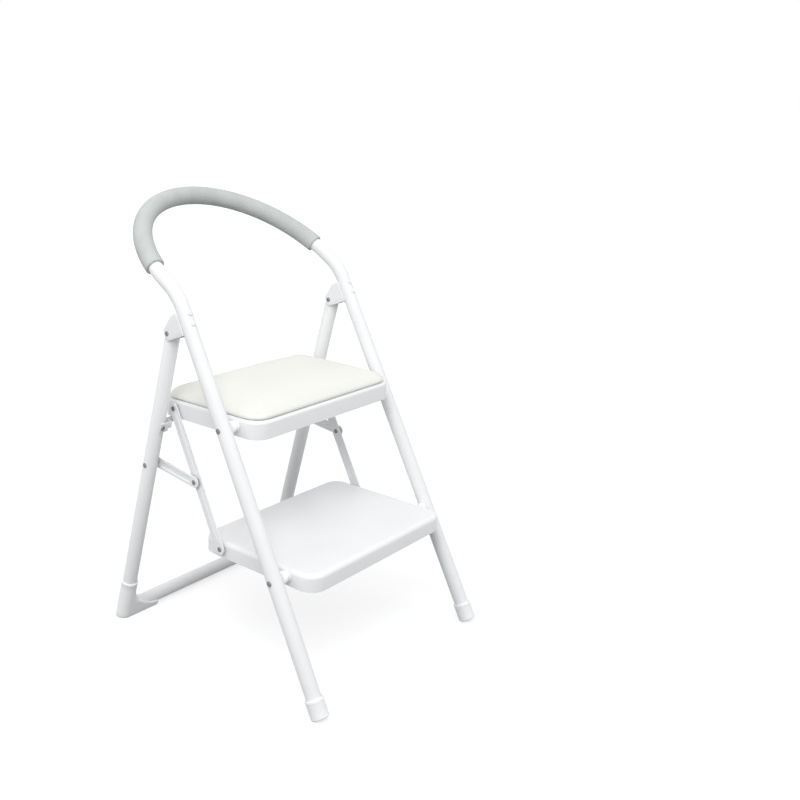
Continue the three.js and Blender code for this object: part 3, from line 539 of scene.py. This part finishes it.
# Rear boots: moulded nylon sleeves over the legs that run inward into a cradle under
# the crossbar, with a curved throat, a collar at the top and a sole level on the floor.
boot_reach = 0.0750
boot_corner = 0.005
boot_ease = 0.012
boot_back_steps, boot_side_steps, boot_corner_steps = 33, 10, 9
boot_sole = ((0.0016, 0.0), (0.0005, 0.0004), (0.0, 0.0016))
boot_throat = (
    (boot_reach, -0.0048), (0.0744, -0.0042), (0.0720, -0.0035), (0.0680, -0.0025),
    (0.0630, -0.0012), (0.0560, 0.0006), (0.0500, 0.0026), (0.0440, 0.0048),
    (0.0385, 0.0074), (0.0330, 0.0104), (0.0280, 0.0138), (0.0240, 0.0172),
    (0.0212, 0.0204), (0.0190, 0.0240), (0.0175, 0.0280), (0.0165, 0.0325),
    (0.0159, 0.0380), (foot_radius, 0.0440), (foot_radius, 0.0500),
)
boot_collar = (
    (0.0586, foot_radius), (0.0592, 0.0159), (0.0600, collar_radius), (0.0635, collar_radius),
    (0.0642, 0.0159), (0.0645, 0.0154), (0.0645, tube_radius + fit_gap),
    (-0.0103, tube_radius + fit_gap),
)


def boot_ring(reach, radius, inward):
    """Outline seen down the leg: a half circle outside, straight sides, and an inner end
    with rounded corners that open to a full circle as the reach shrinks to the radius."""
    ease = np.clip((reach - radius) / boot_ease, 0, 1)
    corner = radius + (boot_corner - radius) * ease
    outer = np.linspace(np.pi / 2, 3 * np.pi / 2, boot_back_steps)
    out = np.stack([radius * np.cos(outer), radius * np.sin(outer)], 1)
    run = np.linspace(0, 1, boot_side_steps)[1:-1, None]
    low = np.array([0.0, -radius]) + run * [reach - corner, 0.0]
    turn = np.linspace(-np.pi / 2, 0, boot_corner_steps)
    first = np.array([reach - corner, corner - radius]) + corner * np.stack(
        [np.cos(turn), np.sin(turn)], 1)
    second = first[::-1] * [1, -1]
    high = low[::-1] * [1, -1]
    ring = np.concatenate([out, low, first, second, high])
    return ring * [inward, 1]


def boot_grid(side):
    """Boot outlines stacked up the leg: a level sole, plain walls, the throat where the
    reach falls as the height grows, the sleeve, the collar and the blind bore. The sole
    is pairs of inset and height, the throat reach and height, the collar height and
    radius."""
    centre = rear_foot + [side * leg_x, 0.0, 0.0]
    rings = []
    for inset, height in boot_sole:
        ring = boot_ring(boot_reach - inset, foot_radius - inset, -side)
        along = (height - centre[2] - ring[:, 1] * rear_back[2]) / rear_up[2]
        rings.append((ring, along))
    for reach, height in boot_throat:
        ring = boot_ring(reach, foot_radius, -side)
        rings.append((ring, np.full(len(ring), height)))
    for height, radius in boot_collar:
        ring = boot_ring(radius, radius, -side)
        rings.append((ring, np.full(len(ring), height)))
    return np.stack([
        centre + np.outer(ring[:, 0], [1.0, 0.0, 0.0])
        + np.outer(ring[:, 1], rear_back) + np.outer(along, rear_up)
        for ring, along in rings])


for side, mark in ((-1, "l"), (1, "r")):
    boot = skin(f"rear_boot_{mark}", boot_grid(side), close_ends=True, crease=50.0)
    fit(boot, nylon, "nylon", "rear_frame", f"rear_foot_{mark}")

# Rear brace: a flat steel strip with a folded lip and cranked ends, riveted across the
# front of the rear legs under the seat's rear edge. Coated white.
brace_round = 0.0005
merge_gap = 2e-5


def softened(node, name, width):
    """Copy of a CAD node with its loose triangles merged, flat faces joined and every
    sharp edge rounded by a narrow bevel."""
    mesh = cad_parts[node].data.copy()
    mesh.name = name
    work = bmesh.new()
    work.from_mesh(mesh)
    bmesh.ops.remove_doubles(work, verts=work.verts, dist=merge_gap)
    bmesh.ops.dissolve_limit(work, angle_limit=np.radians(1.0), verts=work.verts,
                             edges=work.edges)
    work.to_mesh(mesh)
    work.free()
    piece = bpy.data.objects.new(name, mesh)
    scene.collection.objects.link(piece)
    mesh.shade_smooth()
    bevel = piece.modifiers.new("edge", "BEVEL")
    bevel.width = width
    bevel.segments = 3
    bevel.limit_method = "ANGLE"
    bevel.angle_limit = np.radians(40.0)
    bevel.harden_normals = True
    return piece


brace = softened("rear_brace", "rear_strip", brace_round)
fit(brace, powder_coat, "painted_steel", "rear_frame", "rear_brace")

# Pressed pans: seat and lower step are drawn from 1.5 mm sheet, with rounded corners, a
# rolled top edge and an open underside. Both are coated white.
pan_half_width = 0.190
pan_sheet = 0.0015
pan_corner, seat_rear_corner = 0.030, 0.031
seat_edge, step_edge = 0.006, 0.0085
seat_front, seat_depth = -0.105942, 0.245
seat_low, seat_high = 0.4152, 0.4516
step_front, step_depth = -0.229318, 0.262
step_low, step_high = 0.1852, 0.2152
rim_drop = 0.0041
least_corner = 0.0003
border_insets = (0.012, 0.016)
middle_insets = (0.022, 0.040, 0.100)
lip_share, lip_ease_share = 0.35, 0.7
pan_corner_steps, pan_edge_steps = 14, 9


def plan_ring(front_y, depth, inset, front_corner, rear_corner, steps):
    """Rounded rectangle seen from above, drawn in by an inset: four quarter circles whose
    radius is the corner's less the inset, joined by straight sides."""
    half = pan_half_width
    parts = []
    for across, back, corner, start in (
        (1, -1, front_corner, -0.5), (1, 1, rear_corner, 0.0),
        (-1, 1, rear_corner, 0.5), (-1, -1, front_corner, 1.0),
    ):
        radius = max(corner - inset, least_corner)
        turn = np.pi * (start + np.linspace(0, 0.5, steps))
        x = across * (half - inset - radius) + radius * np.cos(turn)
        y = depth / 2 + back * (depth / 2 - inset - radius) + radius * np.sin(turn)
        parts.append(np.stack([x, front_y + y], 1))
    return np.concatenate(parts)


def pan_grid(front_y, depth, low, high, corners, edge, drop):
    """Sheet tray: outer wall, rolled edge as a quarter circle, a border that lies lower
    than the middle by the drop, then the same inside at one sheet's distance, down to
    the open rim."""
    turn = np.linspace(0, np.pi / 2, pan_edge_steps)
    lip = pan_sheet * lip_share
    border = high - drop
    outer = [(0.0, low + lip)] + [
        (edge * (1 - np.cos(t)), border - edge * (1 - np.sin(t))) for t in turn]
    outer += [(inset, border) for inset in border_insets]
    outer += [(inset, high) for inset in middle_insets]
    inner_edge = edge - pan_sheet
    under = border - pan_sheet
    inner = [(pan_sheet, low + lip)] + [
        (pan_sheet + inner_edge * (1 - np.cos(t)), under - inner_edge * (1 - np.sin(t)))
        for t in turn]
    shift = pan_sheet / 3
    inner += [(border_insets[-1] + shift, under),
              (middle_insets[0] + shift, high - pan_sheet),
              (middle_insets[-1], high - pan_sheet)]
    ease = lip * lip_ease_share
    rim = [(pan_sheet - ease, low + lip - ease), (pan_sheet / 2, low), (ease, low + lip - ease)]
    rows = inner[::-1] + rim + outer
    rings = [plan_ring(front_y, depth, inset, *corners, pan_corner_steps) for inset, _ in rows]
    return np.stack([np.column_stack([ring, np.full(len(ring), z)])
                     for ring, (_, z) in zip(rings, rows)])


step_grid = pan_grid(step_front, step_depth, step_low, step_high, (pan_corner, pan_corner),
                     step_edge, 0.0)
step_pan = skin("step_tray", step_grid, close_ends=True)
fit(step_pan, powder_coat, "painted_steel", "step", "step_pan")
seat_grid = pan_grid(seat_front, seat_depth, seat_low, seat_high,
                     (pan_corner, seat_rear_corner), seat_edge, rim_drop)
seat_pan = skin("seat_tray", seat_grid, close_ends=True)
fit(seat_pan, powder_coat, "painted_steel", "seat", "seat_pan")

# Link bars and stays: 20 mm strips of 3 mm steel with a pressed rib down the middle.
# The bars join seat and step, and the stays tie the bars to the rear legs.
bar_half = 0.0100
bar_sheet = 0.003
rib_height = 0.0010
rib_half, rib_ease = 0.0050, 0.0014
rib_stops, rib_fades = 0.0095, 0.0040
bar_rows = 90
link_face, stay_face = 0.1940, 0.2019
stay_share = 0.522
bar_crease = 60.0
bar_turn_steps = 17
bar_edge = ((0.00035, 0.0), (0.0001, 0.0002), (0.0, 0.0006))
face_spans = (0, 0.0014, 0.0028, 0.0036, 0.0040, 0.0043, 0.0046, 0.0050, 0.0056, 0.0066,
              0.0080, 0.0090)
seat_link = np.array([0.096358, 0.4337])
step_link = np.array([-0.020318, 0.2022])
stay_front = np.array([0.035453, 0.312857])
stay_rear = np.array([0.135059, 0.3267])


def bar_grid(start, end, pivots, side, near, rib_way):
    """Strip with round ends: every point lies at a distance from the middle line along
    the outline's normal, and the face rises to a rib near the middle line, except round
    the pivots, by smooth steps of both distances."""
    length = np.linalg.norm(end - start)
    along_way = (end - start) / length
    across_way = np.array([-along_way[1], along_way[0]])
    turn = np.linspace(np.pi / 2, 3 * np.pi / 2, bar_turn_steps)
    run = np.linspace(0, length, bar_rows)[1:-1]
    middle = np.concatenate([0 * turn, run, length + 0 * turn, run[::-1]])
    normal_along = np.concatenate([np.cos(turn), 0 * run, -np.cos(turn), 0 * run])
    normal_across = np.concatenate([np.sin(turn), -1 + 0 * run, -np.sin(turn), 1 + 0 * run])

    def smooth(x):
        x = np.clip(x, 0, 1)
        return x * x * (3 - 2 * x)

    clear = np.min([np.abs(middle - p * length) for p in pivots], 0)
    window = smooth((clear - rib_stops) / rib_fades)
    half = bar_sheet / 2
    upper = [(span, half) for span in face_spans]
    upper += [(bar_half - inset, half - fall) for inset, fall in bar_edge]
    rows = upper + [(span, -height) for span, height in upper[::-1]]
    grid = []
    for distance, height in rows:
        rib = rib_height * window * smooth((rib_half - distance) / rib_ease)
        x = side * (near + half + height + rib_way * rib)
        along = middle + distance * normal_along
        across = distance * normal_across
        flat = start + along[:, None] * along_way + across[:, None] * across_way
        grid.append(np.column_stack([x * np.ones(len(flat)), flat]))
    return np.stack(grid)


for side, mark in ((-1, "l"), (1, "r")):
    grid = bar_grid(seat_link, step_link, (0.0, stay_share, 1.0), side, link_face, 1)
    link = skin(f"link_strip_{mark}", grid, crease=bar_crease)
    fit(link, powder_coat, "painted_steel", f"link_{mark}", f"link_bar_{mark}")
    grid = bar_grid(stay_front, stay_rear, (0.0, 1.0), side, stay_face, -1)
    stay = skin(f"stay_strip_{mark}", grid, crease=bar_crease)
    fit(stay, powder_coat, "painted_steel", f"stay_{mark}", f"stay_link_{mark}")

# Pins, rivets, bolts and spacers: zinc-plated steel with low domed and dimpled heads.
# The bracket's rivets are coated with it. The spacers are flanged nylon rings that hold
# the pans off the legs, with a groove that the link bar passes through in the fold.
rivet_head = (0.0045, 0.0018)
bolt_head = (0.0048, 0.0022)
dome_turn, dome_steps = 1.18, 8
pit_share, pit_narrow_share = 0.30, 0.8
pit_rim_share, pit_floor_share = 0.70, 0.45
pin_shank, rivet_shank = 0.003, 0.0025
shoulder_radius = 0.006
hinge_inside = leg_x - bracket_outer - fit_gap
hinge_outside = leg_x + bracket_outer + fit_gap
leg_round = tube_radius + fit_gap
leg_outside = leg_x + leg_round
leg_inside = leg_x - tube_radius
pan_outside = pan_half_width + fit_gap
pan_inside = pan_half_width - pan_sheet - fit_gap
bolt_end = 0.1812
link_outside = link_face + bar_sheet + fit_gap
link_inside = link_face - fit_gap
stay_outside = stay_face + bar_sheet + fit_gap
stay_inside = stay_face - fit_gap
rivet_gap = 0.00035
bracket_rivet_rises = (0.016, -0.003)
brace_rivet_tail, brace_rivet_face = 0.0091, 0.0161
spacer_bore = pin_shank + fit_gap
spacer_end = leg_inside - fit_gap
groove_radius = 0.0072
spacer_ring = (
    (pan_outside, spacer_bore), (pan_outside, 0.0098), (0.1906, 0.0102), (0.1926, 0.0102),
    (0.1930, 0.0098), (0.1932, groove_radius), (0.1977, groove_radius), (0.1979, 0.0101),
    (0.1984, 0.0107), (0.2050, 0.0107), (0.2054, 0.0105), (spacer_end, 0.0101),
    (spacer_end, spacer_bore),
)


def dome(face, radius, height, way):
    """Quarter ellipse from a head's rim towards its crown, as pairs of distance and
    radius, ending in the small round dimple that the rivet tool leaves."""
    turn = np.linspace(0, dome_turn, dome_steps)
    pit = radius * pit_share
    floor = face + way * height * pit_floor_share
    rise = [(face + way * height * np.sin(t), radius * np.cos(t)) for t in turn]
    return rise + [(face + way * height * pit_rim_share, pit),
                   (floor, pit * pit_narrow_share), (floor, 0.0)]


def pin_pairs(tail, face, shank, head, two_heads=False, shoulder=None):
    """Profile of a pin as pairs of distance and radius: the tail or a second head, the
    shank, an optional shoulder, and the head, which is a radius and a height."""
    pairs = dome(tail, *head, -1)[::-1] if two_heads else [(tail, 0.0)]
    pairs = pairs + [(tail, shank)]
    if shoulder:
        low, high = shoulder
        pairs += [(low, shank), (low, shoulder_radius), (high, shoulder_radius), (high, shank)]
    return pairs + [(face, shank)] + dome(face, *head, 1)


# Painted dark reflection: the plating's colour is kept dark. It stands in for the dark
# reflections in the heads, which the white surround does not give.
zinc_painted_dark_reflection = finish_of("zinc_plate_painted_dark_reflection", light=(0.24, 0.245, 0.25), dark=(0.17, 0.175, 0.18),
                 rough=(0.30, 0.48), scales=(2600.0, 700.0, 0.5, 120.0), depth=0.00004,
                 Metallic=0.85)
hinge_pivot = (0.068027, 0.581551)
seat_pivot = (-0.054642, 0.4337)
step_pivot = (-0.171318, 0.2022)
z_axis = np.array([0.0, 0.0, 1.0])
pivot_bolt = pin_pairs(bolt_end, leg_outside, pin_shank, bolt_head)
link_rivet = pin_pairs(pan_inside, link_outside, rivet_shank, rivet_head, two_heads=True,
                       shoulder=(pan_outside, link_inside))
cross_pins = {
    "hinge_pin": (hinge_pivot, "front_frame", pin_pairs(
        hinge_inside, hinge_outside, pin_shank, rivet_head, two_heads=True)),
    "seat_pivot_bolt": (seat_pivot, "front_frame", pivot_bolt),
    "step_pivot_bolt": (step_pivot, "front_frame", pivot_bolt),
    "link_rivet_seat": (seat_link, "seat", link_rivet),
    "link_rivet_step": (step_link, "step", link_rivet),
    "stay_rivet_front": (stay_front, "link_", pin_pairs(
        link_inside, stay_outside, rivet_shank, rivet_head, two_heads=True,
        shoulder=(link_outside, stay_inside))),
    "stay_rivet_rear": (stay_rear, "rear_frame", pin_pairs(
        leg_inside - rivet_gap, leg_outside, rivet_shank, rivet_head)),
}
stay_tip = pin_pairs(-stay_face - bar_sheet - rivet_gap, -stay_inside, rivet_shank, rivet_head)
bracket_rivet = pin_pairs(-leg_round, bracket_outer + fit_gap, rivet_shank, rivet_head,
                          two_heads=True)
brace_rivet = pin_pairs(brace_rivet_tail, brace_rivet_face, rivet_shank, rivet_head)
for side, mark in ((-1, "l"), (1, "r")):
    x_way = np.array([float(side), 0.0, 0.0])
    for node, (pivot, body, pairs) in cross_pins.items():
        pin = skin(f"{node}_{mark}_turned", turned_grid(pairs, (0.0, *pivot), x_way, z_axis))
        rides = body + mark if body.endswith("_") else body
        fit(pin, zinc_painted_dark_reflection, "hardware", rides, f"{node}_{mark}")
    tip = skin(f"stay_tip_{mark}", turned_grid(stay_tip, (0.0, *stay_rear), x_way, z_axis))
    fit(tip, zinc_painted_dark_reflection, "hardware", f"stay_{mark}", f"stay_rivet_tip_{mark}")
    for node, pivot in (("seat_pivot_spacer", seat_pivot), ("step_pivot_spacer", step_pivot)):
        grid = turned_grid(spacer_ring, (0.0, *pivot), x_way, z_axis)
        fit(skin(f"{node}_{mark}_turned", grid, loop_rows=True), nylon, "nylon",
            "front_frame", f"{node}_{mark}")
    for count, rise in enumerate(bracket_rivet_rises, 1):
        place = leg_foot + [side * leg_x, 0.0, 0.0] + (hinge_along + rise) * up_way
        rivet = skin(f"bracket_rivet_{mark}_{count}_turned",
                     turned_grid(bracket_rivet, place, back_way, x_way))
        fit(rivet, powder_coat, "hardware", "front_frame", f"bracket_rivet_{mark}_{count}")
    brace_low, brace_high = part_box(f"brace_rivet_{mark}")
    brace_at = rear_foot + [side * leg_x, 0.0, 0.0]
    brace_middle = (np.array(brace_low) + np.array(brace_high)) / 2
    lift = float((brace_middle - brace_at) @ rear_up)
    rivet = skin(f"brace_rivet_{mark}_turned",
                 turned_grid(brace_rivet, brace_at + lift * rear_up, -rear_back, x_way))
    fit(rivet, zinc_painted_dark_reflection, "hardware", "rear_frame", f"brace_rivet_{mark}")

# Nuts and screws inside the pans: a hexagon nut on each pivot bolt and four screws up
# into the seat's board, of the same zinc-plated steel, whose colour carries the same
# painted dark reflection. Only the undersides show them, so the forms of the CAD stay.
nuts = [f"{pan}_pivot_nut_{mark}" for pan in ("seat", "step") for mark in "lr"]
screws = [f"seat_screw_{count}" for count in (1, 2, 3, 4)]
for node in nuts + screws:
    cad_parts[node].material_slots[0].material = zinc_painted_dark_reflection

# Seat board: raw plywood under the foam, held to the pan by the four screws. It lies
# inside the cushion, so the form of the CAD stays.
plywood = finish_of("raw_plywood", light=(0.62, 0.46, 0.29), dark=(0.50, 0.35, 0.20),
                    rough=(0.6, 0.85), scales=(500.0, 60.0, 0.5, 25.0), depth=0.0003)
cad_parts["seat_board"].material_slots[0].material = plywood

# Seat cushion: soft foam on the board under stretched cream vinyl, pulled in at the rim
# and stapled below. It is blown up a little by cloth simulation for its fullness, and the
# creases this leaves are evened out, since the vinyl is stretched smooth.
cushion_low = 0.4478
cushion_inset = 0.0036
cushion_corner, cushion_steps = 0.036, 18
cushion_bow = 0.0014
rear_lift, side_fall_share = 0.0055, 0.65
crown = 0.0322
seat_centre = np.array([0.0, seat_front + seat_depth / 2])
seat_reach = np.array([pan_half_width, seat_depth / 2])
cushion_shares = (
    (0.118, 0.150), (0.085, 0.000), (0.014, 0.000), (0.005, 0.020), (0.001, 0.055),
    (0.000, 0.100), (0.004, 0.160), (0.013, 0.225), (0.028, 0.295), (0.048, 0.365),
    (0.075, 0.440), (0.110, 0.520), (0.155, 0.605), (0.215, 0.695), (0.295, 0.790),
    (0.400, 0.875), (0.530, 0.938), (0.680, 0.978), (0.830, 0.996), (0.930, 1.002),
    (0.985, 1.003),
)


def cushion_grid(swell):
    """Rings drawn in from the rim to the middle while they rise, by shares of the half
    depth and of the crown times the swell: a bottom raised over the pan's middle, the
    foot on its border, a sloping shoulder, then a slow crown. The outer quarter of each
    side bows out by one less the square of the place along it. The rear half lifts with
    the distance behind the middle, less towards the sides."""
    span = seat_depth / 2 - cushion_inset
    rings = []
    for inset, rise in cushion_shares:
        ring = plan_ring(seat_front, seat_depth, cushion_inset + span * inset,
                         cushion_corner, cushion_corner, cushion_steps)
        place = (ring - seat_centre) / seat_reach
        along_side = np.clip(1 - place[:, ::-1] ** 2, 0, 1)
        near_side = np.clip(np.abs(place) * 4 - 3, 0, 1)
        ring = ring + cushion_bow * along_side * near_side * np.sign(place)
        behind = np.clip(place[:, 1], 0, 1) * (1 - side_fall_share * place[:, 0] ** 2)
        height = crown * rise * swell + rear_lift * behind * min(rise * 2, 1)
        rings.append(np.column_stack([ring, cushion_low + height]))
    return np.stack(rings)


def vertex_places(mesh):
    """Places of a mesh's vertices, one row for each."""
    flat = np.empty(len(mesh.vertices) * 3)
    mesh.vertices.foreach_get("co", flat)
    return flat.reshape(-1, 3)


swell_before_cloth = 0.90
voxel_size = 0.005
foot_rise, deep_rise, deep_share = 0.0030, 0.0100, 0.93
cloth_frames = 20
evening_rounds = 70
travel_cap, least_travel = 0.0045, 1e-9
ceiling_gap = 0.001
swell = swell_before_cloth
cushion = skin("seat_pad", cushion_grid(swell), close_ends=True)
cushion.data.remesh_voxel_size = voxel_size
bpy.context.view_layer.objects.active = cushion
cushion.select_set(True)
bpy.ops.object.voxel_remesh()
rest = vertex_places(cushion.data)
held = cushion.vertex_groups.new(name="held")
deep = np.max(np.abs(rest[:, :2] - seat_centre) / seat_reach, axis=1) < deep_share
rise = rest[:, 2] - cushion_low
foot = np.nonzero((rise < foot_rise) | (deep & (rise < deep_rise)))[0]
held.add(foot.tolist(), 1.0, "REPLACE")
cloth = cushion.modifiers.new("cloth", "CLOTH")
cloth.settings.vertex_group_mass = "held"
cloth.settings.use_pressure = True
cloth.settings.uniform_pressure_force = 4.0
cloth.settings.effector_weights.gravity = 0.0
cloth.settings.quality = 6
cloth.settings.tension_stiffness = 20.0
cloth.settings.compression_stiffness = 20.0
cloth.settings.bending_stiffness = 2.0
cloth.point_cache.frame_end = cloth_frames
for number in range(1, cloth_frames + 1):
    scene.frame_set(number)
blown = cushion.evaluated_get(bpy.context.evaluated_depsgraph_get())
travel = vertex_places(blown.data) - rest
cushion.modifiers.clear()
scene.frame_set(1)
ends = np.empty(len(cushion.data.edges) * 2, dtype=np.int32)
cushion.data.edges.foreach_get("vertices", ends)
one, other = ends.reshape(-1, 2).T
shared = np.bincount(ends, minlength=len(rest))[:, None]
for _ in range(evening_rounds):
    around = np.zeros_like(travel)
    np.add.at(around, one, travel[other])
    np.add.at(around, other, travel[one])
    travel = (travel + around / shared) / 2
    travel[foot] = 0.0
distance = np.linalg.norm(travel, axis=1)
capped = travel_cap * np.tanh(distance / travel_cap)
travel *= (capped / np.maximum(distance, least_travel))[:, None]
moved = rest + travel
moved[:, 2] = np.clip(moved[:, 2], cushion_low, cushion_low + crown + ceiling_gap)
cushion.data.vertices.foreach_set("co", moved.ravel())
cushion.data.update()
cushion.data.shade_smooth()
fuller = cushion.modifiers.new("fuller", "SUBSURF")
fuller.levels = fuller.render_levels = 1
vinyl = finish_of("cream_vinyl", light=(0.80, 0.798, 0.755), dark=(0.775, 0.773, 0.725),
                  rough=(0.42, 0.58), scales=(1100.0, 420.0, 0.4, 7.0), depth=0.00025)
fit(cushion, vinyl, "vinyl", "seat", "seat_cushion")
